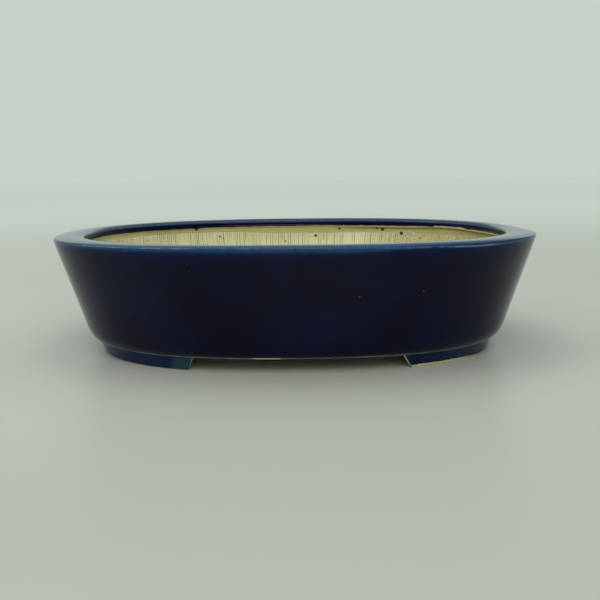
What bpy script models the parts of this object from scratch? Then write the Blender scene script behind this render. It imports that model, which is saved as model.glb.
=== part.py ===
"""Oval bonsai pot: a flared wall on a drained floor, a broad inturned rim, two end feet and the glaze over them.

Metres, +Z up. The origin is on the ground below the middle of the pot, X runs along the long axis and Y across it.
Every section of the pot is a line of points (end inset, side inset, height): how far the surface stands in from the
rim's outline at the two ends and at the two long sides, and how high it is.
"""

import math

import bmesh
import bpy

# Driving dimensions
LENGTH = 0.275
WIDTH = 0.218
HEIGHT = 0.066
OVAL_POWER = 2.4
RIM_WIDTH_ENDS = 0.0164
RIM_WIDTH_SIDES = 0.0135
RIM_EDGE_RADIUS = 0.0011
LIP_EDGE_RADIUS = 0.0014
RIM_CROWN = 0.0010
LIP_GLAZE_DEPTH = 0.0048
LIP_THICKNESS = 0.0059
WALL_FOOT_INSET = 0.0150
WALL_FOOT_HEIGHT = 0.0170
LEDGE_INSET = 0.0208
LEDGE_HEIGHT = 0.0074

# Joints between the pieces, which the potter luted together
GAP = 0.0003
FLOOR_TOP = 0.0140
RIM_JOINT = 0.0580
UNDERCUT_TOP = 0.0595
INNER_TOP_ENDS = 0.0130
INNER_TOP_SIDES = 0.0110
INNER_LEAN = 0.30
INNER_CORNER_RADIUS = 0.0045

# Glaze
GLAZE = 0.0006
FOOT_GLAZE_BOTTOM = 0.0013
FOOT_GLAZE_MARGIN = 0.0016

# Feet
FOOT_TOP_INSET_ENDS = 0.0222
FOOT_TOP_INSET_SIDES = 0.0214
FOOT_BOTTOM_INSET_ENDS = 0.0250
FOOT_BOTTOM_INSET_SIDES = 0.0232
FOOT_TOP_WIDTH = 0.0130
FOOT_BOTTOM_WIDTH = 0.0110
LEFT_FOOT_END = -0.0522
LEFT_FOOT_SLANT = 0.0023
RIGHT_FOOT_END = 0.0550
RIGHT_FOOT_SLANT = 0.0040

# Holes in the floor
DRAIN_HOLE_RADIUS = 0.0130
DRAIN_HOLE_X = 0.0520
WIRE_HOLE_RADIUS = 0.0025
WIRE_HOLE_X = 0.0240
WIRE_HOLE_Y = 0.0480
HOLE_SIDES = 40
WIRE_HOLE_SIDES = 16

SEGMENTS = 72
CORNER_STEPS = 3


def clear_scene():
    for thing in list(bpy.data.objects):
        bpy.data.objects.remove(thing, do_unlink=True)


def make_collection(name):
    collection = bpy.data.collections.new(name)
    bpy.context.scene.collection.children.link(collection)
    return collection


def make_material(name, colour, roughness):
    material = bpy.data.materials.new(name)
    material.use_nodes = True
    shader = material.node_tree.nodes["Principled BSDF"]
    shader.inputs["Base Color"].default_value = (*colour, 1.0)
    shader.inputs["Roughness"].default_value = roughness
    shader.inputs["Metallic"].default_value = 0.0
    return material


def oval_radius(half_length, half_width, angle):
    """Distance from the middle to a squared oval, in the direction of angle."""
    along = abs(math.cos(angle)) / half_length
    across = abs(math.sin(angle)) / half_width
    return (along**OVAL_POWER + across**OVAL_POWER) ** (-1.0 / OVAL_POWER)


def ring_of(mesh, point):
    """The vertices of one oval ring at a section's point."""
    end_inset, side_inset, height = point
    ring = []
    for step in range(SEGMENTS):
        angle = 2.0 * math.pi * step / SEGMENTS
        reach = oval_radius(LENGTH / 2.0 - end_inset, WIDTH / 2.0 - side_inset, angle)
        ring.append(mesh.verts.new((reach * math.cos(angle), reach * math.sin(angle), height)))
    return ring


def join_rings(mesh, lower, upper):
    for step in range(SEGMENTS):
        after = (step + 1) % SEGMENTS
        mesh.faces.new((lower[step], lower[after], upper[after], upper[step]))


def loft_band(section):
    """A closed band round the pot. Its ovals change proportion with height, so it can't be turned or swept."""
    mesh = bmesh.new()
    rings = [ring_of(mesh, point) for point in section]
    for ring, following in zip(rings, rings[1:] + rings[:1]):
        join_rings(mesh, ring, following)
    bmesh.ops.recalc_face_normals(mesh, faces=mesh.faces)
    return mesh


def loft_slab(section):
    """A solid slab with this edge, listed from its underside to its top."""
    mesh = bmesh.new()
    rings = [ring_of(mesh, point) for point in section]
    for ring, following in zip(rings, rings[1:]):
        join_rings(mesh, ring, following)
    mesh.faces.new(rings[0])
    mesh.faces.new(rings[-1])
    bmesh.ops.recalc_face_normals(mesh, faces=mesh.faces)
    return mesh


def finish_piece(name, mesh, collection, material):
    """Makes an object of a bmesh, with its round surfaces shaded smooth."""
    data = bpy.data.meshes.new(name)
    mesh.to_mesh(data)
    mesh.free()
    data.materials.append(material)
    data.shade_smooth()
    data.set_sharp_from_angle(angle=math.radians(35.0))
    piece = bpy.data.objects.new(name, data)
    collection.objects.link(piece)
    return piece


def arc(centre, radius, start, end):
    """Points (inset, height) on an arc, from one angle to the other in degrees. 90 is up and 180 is outwards."""
    points = []
    for step in range(CORNER_STEPS + 1):
        angle = math.radians(start + (end - start) * step / CORNER_STEPS)
        points.append((centre[0] + radius * math.cos(angle), centre[1] + radius * math.sin(angle)))
    return points


def outer_corner():
    """The rounded corner between the ledge and the wall, from the ledge up."""
    lean = WALL_FOOT_INSET / (HEIGHT - RIM_CROWN - RIM_EDGE_RADIUS - WALL_FOOT_HEIGHT)
    drop = 0.8 * (WALL_FOOT_HEIGHT - LEDGE_HEIGHT)
    pull = (WALL_FOOT_INSET + lean * drop, WALL_FOOT_HEIGHT - drop)
    points = []
    for step in range(CORNER_STEPS + 1):
        t = step / CORNER_STEPS
        weights = ((1.0 - t) ** 2, 2.0 * t * (1.0 - t), t**2)
        inset = weights[0] * LEDGE_INSET + weights[1] * pull[0] + weights[2] * WALL_FOOT_INSET
        height = weights[0] * LEDGE_HEIGHT + weights[1] * pull[1] + weights[2] * WALL_FOOT_HEIGHT
        points.append((inset, height))
    return points


def body_line(rim_width):
    """The glazed surface from the ledge, up the wall, over the crowned rim and down the lip's inner face."""
    edge_top = HEIGHT - RIM_CROWN
    across = rim_width - RIM_EDGE_RADIUS - LIP_EDGE_RADIUS
    tilt = math.degrees(4.0 * RIM_CROWN / across)
    edge_centre = (RIM_EDGE_RADIUS, edge_top - RIM_EDGE_RADIUS)
    lip_centre = (rim_width - LIP_EDGE_RADIUS, edge_top - LIP_EDGE_RADIUS)
    line = outer_corner()
    line += arc(edge_centre, RIM_EDGE_RADIUS, 180.0, 90.0 + tilt)
    for share in (0.25, 0.5, 0.75):
        line.append((RIM_EDGE_RADIUS + share * across, HEIGHT - RIM_CROWN * (2.0 * share - 1.0) ** 2))
    line += arc(lip_centre, LIP_EDGE_RADIUS, 90.0 - tilt, 0.0)
    line += [(rim_width, HEIGHT - LIP_GLAZE_DEPTH)]
    return line


def unit(start, end):
    size = math.hypot(end[0] - start[0], end[1] - start[1])
    return ((end[0] - start[0]) / size, (end[1] - start[1]) / size)


def sunk(line, depth):
    """The line moved into the clay by a depth. Its two ends stay at their heights."""
    moved = []
    for index, point in enumerate(line):
        before = line[max(index - 1, 0)]
        after = line[min(index + 1, len(line) - 1)]
        if index in (0, len(line) - 1):
            heading = unit(before, after)
            moved.append((point[0] + depth / heading[1], point[1]))
            continue
        arriving = unit(before, point)
        leaving = unit(point, after)
        mitre = 1.0 + arriving[0] * leaving[0] + arriving[1] * leaving[1]
        normal = ((arriving[1] + leaving[1]) / mitre, -(arriving[0] + leaving[0]) / mitre)
        moved.append((point[0] + depth * normal[0], point[1] + depth * normal[1]))
    return moved


def cut_at(line, height):
    """The point where a rising line first passes a height."""
    for low, high in zip(line, line[1:]):
        if low[1] <= height <= high[1]:
            share = (height - low[1]) / (high[1] - low[1])
            return (low[0] + share * (high[0] - low[0]), height)
    raise ValueError("the line never reaches this height")


def rise_between(line, low, high):
    """The stretch of a rising line between two heights."""
    peak = max(range(len(line)), key=lambda index: line[index][1])
    rising = line[: peak + 1]
    inside = [point for point in rising if low < point[1] < high]
    return [cut_at(rising, low)] + inside + [cut_at(rising, high)]


def section_of(end_line, side_line):
    """A section from the same line drawn at the pot's ends and at its long sides."""
    return [(end[0], side[0], end[1]) for end, side in zip(end_line, side_line)]


def glaze_section(rim_width):
    line = body_line(rim_width)
    return line + sunk(line, GLAZE)[::-1]


def clay_line(rim_width):
    return sunk(body_line(rim_width), GLAZE + GAP)


def inner_point(top_inset, height):
    """A point on the leaning inner face, which has this inset at the rim's joint."""
    return (top_inset + INNER_LEAN * (RIM_JOINT - height), height)


def inner_line(top_inset):
    """The wall's inner face from the floor up, with a rounded corner at the floor."""
    corner_top = inner_point(top_inset, FLOOR_TOP + GAP + INNER_CORNER_RADIUS)
    corner_centre = (corner_top[0] + INNER_CORNER_RADIUS, corner_top[1])
    corner = arc(corner_centre, INNER_CORNER_RADIUS, 255.0, 180.0)
    return corner + [inner_point(top_inset, RIM_JOINT - GAP)]


def wall_section(rim_width, top_inset):
    inner = inner_line(top_inset)
    low = FLOOR_TOP + GAP
    outer = rise_between(clay_line(rim_width), low, RIM_JOINT - GAP)
    return outer + inner[::-1] + [(inner[0][0], low)]


def make_wall(collection, clay):
    end_line = wall_section(RIM_WIDTH_ENDS, INNER_TOP_ENDS)
    side_line = wall_section(RIM_WIDTH_SIDES, INNER_TOP_SIDES)
    return finish_piece("wall", loft_band(section_of(end_line, side_line)), collection, clay)


def make_rim_lip(collection, clay):
    """The broad rim, a strip laid on the wall's top edge that overhangs the soil."""

    def lip_line(rim_width, inner_top):
        clay_surface = clay_line(rim_width)
        outside = [point for point in clay_surface if point[1] > RIM_JOINT]
        outside.insert(0, rise_between(clay_surface, RIM_JOINT, HEIGHT - RIM_CROWN - RIM_EDGE_RADIUS)[0])
        lip_foot = (clay_surface[-1][0], HEIGHT - LIP_THICKNESS)
        return outside + [lip_foot, inner_point(inner_top, UNDERCUT_TOP), (inner_top, RIM_JOINT)]

    end_line = lip_line(RIM_WIDTH_ENDS, INNER_TOP_ENDS)
    side_line = lip_line(RIM_WIDTH_SIDES, INNER_TOP_SIDES)
    return finish_piece("rim_lip", loft_band(section_of(end_line, side_line)), collection, clay)


def make_glaze_coat(collection, glaze):
    section = section_of(glaze_section(RIM_WIDTH_ENDS), glaze_section(RIM_WIDTH_SIDES))
    return finish_piece("glaze_coat", loft_band(section), collection, glaze)


def make_hole_cutter(name, x, y, radius, sides, cutters):
    height = 4.0 * (FLOOR_TOP - LEDGE_HEIGHT)
    bpy.ops.mesh.primitive_cylinder_add(vertices=sides, radius=radius, depth=height, location=(x, y, FLOOR_TOP))
    cutter = bpy.context.object
    cutter.name = name
    cutter.hide_render = True
    cutter.display_type = "WIRE"
    for collection in list(cutter.users_collection):
        collection.objects.unlink(cutter)
    cutters.objects.link(cutter)
    return cutter


def make_floor_slab(collection, cutters, clay):
    """The slab runs out under the wall. Down there the clay's line is the same at the ends and at the sides."""
    edge = rise_between(clay_line(RIM_WIDTH_ENDS), LEDGE_HEIGHT, FLOOR_TOP)
    floor = finish_piece("floor_slab", loft_slab(section_of(edge, edge)), collection, clay)
    holes = []
    for side in (-1, 1):
        x = side * DRAIN_HOLE_X
        holes.append(("drain_hole", x, 0.0, DRAIN_HOLE_RADIUS, HOLE_SIDES))
        for across in (-1, 1):
            x, y = side * WIRE_HOLE_X, across * WIRE_HOLE_Y
            holes.append(("wire_hole", x, y, WIRE_HOLE_RADIUS, WIRE_HOLE_SIDES))
    for name, x, y, radius, sides in holes:
        cut = floor.modifiers.new(name, "BOOLEAN")
        cut.operation = "DIFFERENCE"
        cut.solver = "EXACT"
        cut.object = make_hole_cutter(name + "_cutter", x, y, radius, sides, cutters)
    return floor


def keep_one_end(mesh, end, slant, side):
    """Cuts a foot ring along a slanted plane across the pot, keeps the part past it and closes the cut."""
    corner = (end, 0.0, LEDGE_HEIGHT)
    normal = (-side * LEDGE_HEIGHT, 0.0, -slant)
    everything = mesh.verts[:] + mesh.edges[:] + mesh.faces[:]
    bmesh.ops.bisect_plane(mesh, geom=everything, plane_co=corner, plane_no=normal, clear_outer=True)
    bmesh.ops.holes_fill(mesh, edges=[edge for edge in mesh.edges if edge.is_boundary], sides=0)
    bmesh.ops.recalc_face_normals(mesh, faces=mesh.faces)


def foot_line(bottom_inset, top_inset):
    """The foot's glazed outer face, from the ground up."""
    return [(bottom_inset, 0.0), (top_inset, LEDGE_HEIGHT - GAP)]


def foot_section(line_of):
    """A foot's section, from a function that turns its outer face into a closed line."""
    end_line = line_of(foot_line(FOOT_BOTTOM_INSET_ENDS, FOOT_TOP_INSET_ENDS))
    side_line = line_of(foot_line(FOOT_BOTTOM_INSET_SIDES, FOOT_TOP_INSET_SIDES))
    return section_of(end_line, side_line)


def make_foot(name, end, slant, side, collection, clay):

    def clay_section(face):
        outer = sunk(face, GLAZE + GAP)
        bottom_inner = (outer[0][0] + FOOT_BOTTOM_WIDTH, outer[0][1])
        top_inner = (outer[1][0] + FOOT_TOP_WIDTH, outer[1][1])
        return outer + [top_inner, bottom_inner]

    mesh = loft_band(foot_section(clay_section))
    keep_one_end(mesh, end, slant, side)
    return finish_piece(name, mesh, collection, clay)


def make_foot_glaze(name, end, slant, side, collection, glaze):

    def glaze_line(face):
        outer = rise_between(face, FOOT_GLAZE_BOTTOM, LEDGE_HEIGHT - 2.0 * GAP)
        return outer + sunk(outer, GLAZE)[::-1]

    mesh = loft_band(foot_section(glaze_line))
    keep_one_end(mesh, end + side * FOOT_GLAZE_MARGIN, slant, side)
    return finish_piece(name, mesh, collection, glaze)


def build():
    clear_scene()
    pot = make_collection("bonsai_pot")
    cutters = make_collection("cutters")
    clay = make_material("fired_clay", (0.52, 0.48, 0.28), 0.85)
    glaze = make_material("cobalt_glaze", (0.006, 0.010, 0.045), 0.08)
    make_wall(pot, clay)
    make_floor_slab(pot, cutters, clay)
    make_rim_lip(pot, clay)
    make_glaze_coat(pot, glaze)
    make_foot("foot_left", LEFT_FOOT_END, LEFT_FOOT_SLANT, -1, pot, clay)
    make_foot("foot_right", RIGHT_FOOT_END, RIGHT_FOOT_SLANT, 1, pot, clay)
    make_foot_glaze("glaze_foot_left", LEFT_FOOT_END, LEFT_FOOT_SLANT, -1, pot, glaze)
    make_foot_glaze("glaze_foot_right", RIGHT_FOOT_END, RIGHT_FOOT_SLANT, 1, pot, glaze)


build()
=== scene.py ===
import math
import random

import bmesh
import bpy
import numpy as np
from mathutils import Matrix, Vector


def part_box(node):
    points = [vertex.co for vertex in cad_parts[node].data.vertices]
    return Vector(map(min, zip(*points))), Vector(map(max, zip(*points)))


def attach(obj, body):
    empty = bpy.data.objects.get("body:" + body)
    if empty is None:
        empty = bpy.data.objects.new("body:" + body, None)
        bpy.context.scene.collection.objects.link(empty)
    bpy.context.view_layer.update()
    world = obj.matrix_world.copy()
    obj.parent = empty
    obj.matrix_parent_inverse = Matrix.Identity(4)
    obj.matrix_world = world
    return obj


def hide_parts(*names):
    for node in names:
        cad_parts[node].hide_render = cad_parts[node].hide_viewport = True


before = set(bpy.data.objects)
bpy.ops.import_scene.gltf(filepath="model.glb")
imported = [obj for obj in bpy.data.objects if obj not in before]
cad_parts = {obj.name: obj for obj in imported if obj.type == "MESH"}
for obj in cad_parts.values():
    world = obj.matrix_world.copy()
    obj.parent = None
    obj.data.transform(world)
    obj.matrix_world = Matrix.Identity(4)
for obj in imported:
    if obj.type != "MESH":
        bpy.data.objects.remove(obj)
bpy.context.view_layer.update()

# An oval bonsai pot, made as a potter makes it: wall, floor, rim strip and feet of clay, then a coat
# of cobalt glaze. A surface is a line of points (inset, height), drawn once for the pot's ends and
# once for its long sides, and laid round the oval. Insets are measured in from the rim's outline.
# All lengths are in metres. Places round the pot are in degrees from -180 to 180: 0 is the right end
# and 90 is the back.

MM = 0.001

# Places read from the frame
COAT_LOW, COAT_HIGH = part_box("glaze_coat")
HALF_LENGTH = COAT_HIGH.x
HALF_WIDTH = COAT_HIGH.y
TOP = COAT_HIGH.z
LEDGE = COAT_LOW.z
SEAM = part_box("rim_lip")[0].z
FLOOR_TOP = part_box("floor_slab")[1].z
FOOT_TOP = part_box("foot_left")[1].z
LEFT_FOOT_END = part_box("foot_left")[1].x
RIGHT_FOOT_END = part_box("foot_right")[0].x

# The pot's lines, as in the frame's own design
OVAL_POWER = 2.4
RIM_WIDTH_ENDS = 16.4 * MM
RIM_WIDTH_SIDES = 13.5 * MM
RIM_EDGE_RADIUS = 1.1 * MM
RIM_CROWN = 1.0 * MM
LIP_EDGE_RADIUS = 1.4 * MM
LIP_TOP = TOP - RIM_CROWN
LIP_FACE_TOP = LIP_TOP - LIP_EDGE_RADIUS
LIP_FOOT = TOP - 5.9 * MM
LIP_FOOT_RADIUS = 0.9 * MM
WALL_FOOT_INSET = 15.0 * MM
WALL_FOOT_HEIGHT = 17.0 * MM
WALL_TOP = LIP_TOP - RIM_EDGE_RADIUS
WALL_LEAN = WALL_FOOT_INSET / (WALL_TOP - WALL_FOOT_HEIGHT)
WALL_LOW = FLOOR_TOP + 0.02 * MM
SHOULDER_DROP = 3.5 * MM
LEDGE_BEVEL = 0.4 * MM
LEDGE_BEVEL_LEAN = 0.05 * MM
LEDGE_INSET = 20.8 * MM
INNER_TOP_ENDS = 13.0 * MM
INNER_TOP_SIDES = 11.0 * MM
INNER_LEAN = 0.30
INNER_CORNER_RADIUS = 7.0 * MM
DRAIN_HOLE_RADIUS = 13.0 * MM
DRAIN_HOLE_X = 52.0 * MM
WIRE_HOLE_RADIUS = 2.5 * MM
WIRE_HOLE_X = 24.0 * MM
WIRE_HOLE_Y = 48.0 * MM

# Feet: (inset at the ends, at the sides), and tables for the left foot (-1) and the right one (1).
# Glaze margins are (at the top, at the ground).
FOOT_TOP_INSETS = (22.2 * MM, 21.4 * MM)
FOOT_BOTTOM_INSETS = (25.0 * MM, 23.2 * MM)
FOOT_TOP_WIDTH = 13.9 * MM
FOOT_BOTTOM_WIDTH = 11.9 * MM
FOOT_SLANTS = {-1: 2.3 * MM, 1: 4.0 * MM}
FOOT_CORNER_HEIGHT = 1.8 * MM
FOOT_CORNER_DEPTH = 1.3 * MM
FOOT_HEIGHTS = (0.01 * MM, 0.4 * MM, 0.9 * MM, 1.6 * MM, 3.0 * MM, 5.0 * MM, FOOT_TOP)
FOOT_GLAZE_BOTTOMS = {-1: 0.22 * MM, 1: 1.35 * MM}
FOOT_GLAZE_MARGINS = {-1: (0.12 * MM, 0.25 * MM), 1: (0.6 * MM, 0.9 * MM)}
FOOT_GLAZE_THICKNESS = {-1: 0.55, 1: 0.30}
FOOT_GLAZE_STREAKS = {-1: 0.20, 1: 0.55}
FOOT_GLAZE_FLOOR = 0.12 * MM

# Glaze
GLAZE = 0.35 * MM
CLAY_DEPTH = GLAZE + 0.03 * MM
LIP_GLAZE_END = TOP - 4.6 * MM
LIP_BEAD = 0.16 * MM
LIP_BEAD_PLACE, LIP_BEAD_WIDTH = 0.86, 0.16
LIP_TAPER = 0.22 * MM

# The kiln's and the hand's work: the rim's ends sag, the walls wander a little, and the strip was laid
# on flatter at the front and on its outer edge at the back left
END_SAG = 0.4 * MM
RIM_RIPPLE = 0.05 * MM
WANDER = 0.22 * MM
FRONT_RISE = 0.95 * MM
FRONT_OUTER_RISE = 0.6 * FRONT_RISE
BACK_LEFT_RISE = 0.9 * FRONT_RISE
FRONT_BLEND = (-0.25, 0.35)
BACK_LEFT_BLEND = (0.86, 0.97)

# Mesh steps round the pot and along a foot
COAT_STEPS = 960
RIM_STEPS = 960
WALL_STEPS = 2400
FLOOR_STEPS = 240
PATCH_STEPS = 180
FOOT_STEPS = 200
FOOT_COAT_STEPS = 420

TURN = 2.0 * math.pi


def wave(angle, counts, seed):
    """A smooth line round the pot between about -1 and 1, made of that many waves each."""
    draw = random.Random(seed)
    total = np.zeros_like(angle)
    for count in counts:
        total += np.sin(count * angle + draw.uniform(0.0, TURN)) * draw.uniform(0.6, 1.0)
    return total / math.sqrt(len(counts)) / 0.9


def near(value, centre, width):
    """1 at the centre, fading like a bell curve over the width."""
    return np.exp(-(((value - centre) / width) ** 2))


def smooth(value, low, high):
    """0 up to low, 1 from high on, and a smooth rise in between."""
    share = np.clip((value - low) / (high - low), 0.0, 1.0)
    return share * share * (3.0 - 2.0 * share)


def between(value, start, full, fade, end):
    """1 between full and fade, 0 before start and after end, with smooth flanks."""
    return smooth(value, start, full) * (1.0 - smooth(value, fade, end))


def degrees_round(angle):
    return (np.degrees(angle) + 180.0) % 360.0 - 180.0


def along_round(angle, places):
    """A value that runs evenly round the pot from one (degrees, value) place to the next."""
    return np.interp(degrees_round(angle), *zip(*places))


def around(count):
    return np.arange(count) * TURN / count


def oval_reach(half_length, half_width, angle):
    along = np.abs(np.cos(angle)) / half_length
    across = np.abs(np.sin(angle)) / half_width
    return (along**OVAL_POWER + across**OVAL_POWER) ** (-1.0 / OVAL_POWER)


def rim_rise(side_inset, height, angle):
    """How much the rim's two halves stand up where the strip was laid on flatter than elsewhere."""
    across = 2.0 * side_inset / RIM_WIDTH_SIDES - 1.0
    inner_half = np.clip(across, 0.0, 1.0) ** 2
    outer_half = np.clip(-across, 0.0, 1.0) ** 2
    front = smooth(-np.sin(angle), *FRONT_BLEND)
    back_left = smooth(-np.cos(angle), *BACK_LEFT_BLEND) * (1.0 - front)
    share = np.clip((height - SEAM) / (WALL_TOP - SEAM), 0.0, 1.0)
    rise = front * (FRONT_RISE * inner_half + FRONT_OUTER_RISE * outer_half)
    return (rise + BACK_LEFT_RISE * back_left * outer_half) * share


def lay_round(end_inset, side_inset, height, angle):
    """Points of a surface round the oval, with the kiln's sag and wander in them."""
    height = height + rim_rise(side_inset, height, angle)
    rise = np.clip((height - LEDGE) / (TOP - LEDGE), 0.0, 1.0)
    wander = WANDER * 0.5 * (1.0 + 0.6 * wave(angle, (3, 5, 8), 11) * np.sin(2.5 * rise + 0.4))
    wander = wander * np.sin(math.pi * np.clip(rise, 0.04, 0.96))
    reach = oval_reach(HALF_LENGTH - end_inset - wander, HALF_WIDTH - side_inset - wander, angle)
    x = reach * np.cos(angle)
    y = reach * np.sin(angle)
    drop = END_SAG * (x / HALF_LENGTH) ** 2 + RIM_RIPPLE * (1.0 + 0.8 * wave(angle, (2, 4, 7, 13), 5))
    return np.stack([x, y, np.broadcast_to(height - drop * rise, x.shape)], axis=-1)


# ---- lines

def arc(centre, radius, start, end, steps):
    """Points on an arc from one angle to the other, in degrees. 90 is up and 180 is outwards."""
    turned = np.radians(np.linspace(start, end, steps + 1))
    return [(centre[0] + radius * math.cos(t), centre[1] + radius * math.sin(t)) for t in turned]


def straight(start, end, steps):
    """Points from start up to, but without, end."""
    return [
        (start[0] + (end[0] - start[0]) * k / steps, start[1] + (end[1] - start[1]) * k / steps)
        for k in range(steps)
    ]


def bend(start, pull, end, steps):
    """Points on a smooth bend that leaves start towards pull and arrives at end from it."""
    points = []
    for t in np.linspace(0.0, 1.0, steps + 1):
        weights = ((1.0 - t) ** 2, 2.0 * t * (1.0 - t), t**2)
        points.append(tuple(sum(w * p[k] for w, p in zip(weights, (start, pull, end))) for k in (0, 1)))
    return points


def sunk(line, depth):
    """The line moved into the clay by a depth. Its two ends stay at their heights."""
    line = np.array(line)
    steps = np.diff(line, axis=0)
    steps /= np.linalg.norm(steps, axis=1, keepdims=True)
    before = np.vstack([steps[:1], steps])
    after = np.vstack([steps, steps[-1:]])
    mitre = 1.0 + (before * after).sum(axis=1)
    total = before + after
    moved = line + depth * np.stack([total[:, 1], -total[:, 0]], axis=1) / mitre[:, None]
    for end, heading in ((0, steps[0]), (-1, steps[-1])):
        moved[end] = (line[end][0] + depth / heading[1], line[end][1])
    return [tuple(point) for point in moved]


def as_rows(values, angle):
    """One row round the pot for each value."""
    return np.array([value + 0.0 * angle for value in values])


def line_rows(line, angle):
    """A line's insets and heights as rows."""
    return [as_rows(values, angle) for values in zip(*line)]


def outer_corner(steps):
    """The rounded corner from the ledge's small upright edge to the wall."""
    drop = 0.8 * (WALL_FOOT_HEIGHT - LEDGE)
    pull = (WALL_FOOT_INSET + WALL_LEAN * drop, WALL_FOOT_HEIGHT - drop)
    bevel_top = (LEDGE_INSET - LEDGE_BEVEL_LEAN, LEDGE + LEDGE_BEVEL)
    edge = straight((LEDGE_INSET, LEDGE), bevel_top, max(1, steps // 6))
    return edge + bend(bevel_top, pull, (WALL_FOOT_INSET, WALL_FOOT_HEIGHT), steps)


def coat_line(rim_width, fine):
    """The glazed surface from the ledge, up the wall, over the crowned rim and down the lip's face."""
    across = rim_width - RIM_EDGE_RADIUS - LIP_EDGE_RADIUS
    tilt = math.degrees(4.0 * RIM_CROWN / across)
    outer = arc((RIM_EDGE_RADIUS, WALL_TOP), RIM_EDGE_RADIUS, 180.0, 90.0 + tilt, 4 * fine)
    inner_centre = (rim_width - LIP_EDGE_RADIUS, LIP_FACE_TOP)
    inner = arc(inner_centre, LIP_EDGE_RADIUS, 90.0 - tilt, 0.0, 4 * fine)
    middle = (outer[-1][0] + inner[0][0]) / 2.0
    shoulder = (WALL_LEAN * SHOULDER_DROP, WALL_TOP - SHOULDER_DROP)
    line = outer_corner(6 * fine)[:-1]
    line += straight((WALL_FOOT_INSET, WALL_FOOT_HEIGHT), shoulder, 6 * fine)
    line += straight(shoulder, outer[0], 5 * fine)
    line += outer[:-1]
    line += bend(outer[-1], (middle, TOP + RIM_CROWN), inner[0], 5 * fine)[:-1]
    line += inner[:-1]
    line += straight(inner[-1], (rim_width, LIP_GLAZE_END), 4 * fine)
    return line + [(rim_width, LIP_GLAZE_END)]


def clay_line(rim_width):
    """The clay's surface behind the glaze."""
    return sunk(coat_line(rim_width, 1), CLAY_DEPTH)


def foot_inset(line, height):
    """The clay's inset at a height in the rounded corner above the ledge."""
    insets, heights = zip(*line[:8])
    return np.interp(height, heights, insets)


# ---- meshes

def keep_mark(mesh, name, values):
    mark = mesh.attributes.new(name, "FLOAT", "POINT")
    mark.data.foreach_set("value", np.ascontiguousarray(values, dtype=np.float32))


def new_mesh(name, points, faces, marks):
    """A mesh from rows of points. marks are values kept on its points, by name."""
    mesh = bpy.data.meshes.new(name)
    mesh.from_pydata(points.reshape(-1, 3).tolist(), [], faces)
    for mark, values in marks.items():
        keep_mark(mesh, mark, np.broadcast_to(values, points.shape[:2]).ravel())
    return mesh


def grid_of(points):
    """The index of every point, and the faces from each row to the following one, last to first."""
    index = np.arange(points[..., 0].size).reshape(points.shape[:2])
    beside = np.roll(index, -1, axis=1)
    quads = np.stack([index, beside, np.roll(beside, -1, axis=0), np.roll(index, -1, axis=0)], axis=-1)
    return index, quads


def hoop_mesh(name, points, marks):
    """A closed body that runs right round the pot."""
    return new_mesh(name, points, grid_of(points)[1].reshape(-1, 4).tolist(), marks)


def capped_mesh(name, points, quads, caps, marks):
    """A closed body from a strip or a band of faces and two caps, all turned outwards."""
    faces = quads.reshape(-1, 4).tolist() + [cap.tolist() for cap in caps]
    mesh = new_mesh(name, points, faces, marks)
    shaped = bmesh.new()
    shaped.from_mesh(mesh)
    bmesh.ops.recalc_face_normals(shaped, faces=shaped.faces)
    shaped.to_mesh(mesh)
    shaped.free()
    return mesh


def strip_mesh(name, points, marks):
    """A closed body from rows that make a tube, with a cap at each end."""
    index, quads = grid_of(points)
    return capped_mesh(name, points, quads[:, :-1], (index[:, 0], index[::-1, -1]), marks)


def put_down(name, data):
    """A new object in the scene."""
    thing = bpy.data.objects.new(name, data)
    bpy.context.scene.collection.objects.link(thing)
    return thing


def make_piece(name, mesh, material, crease):
    mesh.shade_smooth()
    mesh.set_sharp_from_angle(angle=math.radians(crease))
    mesh.materials.clear()
    mesh.materials.append(material)
    return put_down(name, mesh)


def hand_over(piece, slot, *nodes):
    """The piece rides on the pot and stands for CAD nodes, which it hides. Its slot is not used."""
    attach(piece, "root")
    if nodes:
        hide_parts(*nodes)


def soften(piece, width, degrees):
    """Rounds the edges that turn by more than some degrees."""
    bevel = piece.modifiers.new("soften", "BEVEL")
    bevel.width = width
    bevel.segments = 3
    bevel.limit_method = "ANGLE"
    bevel.angle_limit = math.radians(degrees)


def take_mesh(holder):
    """The plain mesh that an object's modifiers make. The object itself is removed."""
    bpy.context.view_layer.update()
    seen = holder.evaluated_get(bpy.context.evaluated_depsgraph_get())
    made = bpy.data.meshes.new_from_object(seen)
    bpy.data.objects.remove(holder)
    return made


# ---- nodes

def wire(tree, kind, inputs=None, **settings):
    """Adds a node, sets its fields, and links or sets its inputs."""
    made = tree.nodes.new(kind)
    for key, value in settings.items():
        setattr(made, key, value)
    for key, value in (inputs or {}).items():
        if isinstance(value, bpy.types.NodeSocket):
            tree.links.new(value, made.inputs[key])
        else:
            made.inputs[key].default_value = value
    return made


def calc(tree, operation, *values):
    return wire(tree, "ShaderNodeMath", dict(enumerate(values)), operation=operation).outputs[0]


def times(tree, product, *factors):
    for factor in factors:
        product = calc(tree, "MULTIPLY", product, factor)
    return product


def ramp(tree, value, low, high, to_low=0.0, to_high=1.0):
    inputs = {"Value": value, "From Min": low, "From Max": high, "To Min": to_low, "To Max": to_high}
    return wire(tree, "ShaderNodeMapRange", inputs, interpolation_type="SMOOTHSTEP").outputs[0]


def layered(tree, colour, *layers):
    """A colour with others laid over it, each given as (share, colour)."""
    for share, over in layers:
        paint = {0: share, 6: colour, 7: over}
        colour = wire(tree, "ShaderNodeMix", paint, data_type="RGBA").outputs[2]
    return colour


def cloud(tree, vector, scale, detail=3.0, roughness=0.55):
    inputs = {"Vector": vector, "Scale": scale, "Detail": detail, "Roughness": roughness}
    return wire(tree, "ShaderNodeTexNoise", inputs).outputs[0]


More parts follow.
